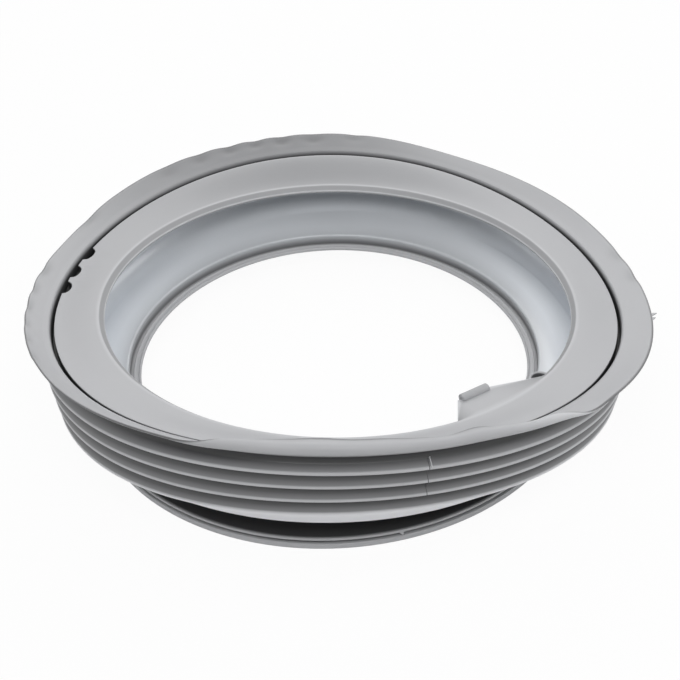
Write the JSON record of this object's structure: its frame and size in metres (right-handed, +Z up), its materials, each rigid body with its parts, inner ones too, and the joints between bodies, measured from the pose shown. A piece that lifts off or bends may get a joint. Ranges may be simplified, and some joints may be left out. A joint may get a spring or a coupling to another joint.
{
  "type": "washing machine door seal",
  "caption": "Ring-shaped rubber door bellows with ribbed wall, dished door face, outer flap, pull tab and clamped tub collar.",
  "frame": {"origin": "centre of the bounding box in X and Y, on the surface that the tub collar lies on", "axes": "+Z up, from the tub collar to the door face; -Y is the side with the folded flap and the pull tab"},
  "size_m": [0.4006, 0.3908, 0.1071],
  "materials": {
    "grey_rubber": "satin moulded grey rubber"
  },
  "bodies": {
    "root": {"door_seal": "grey_rubber"}
  },
  "joints": []
}
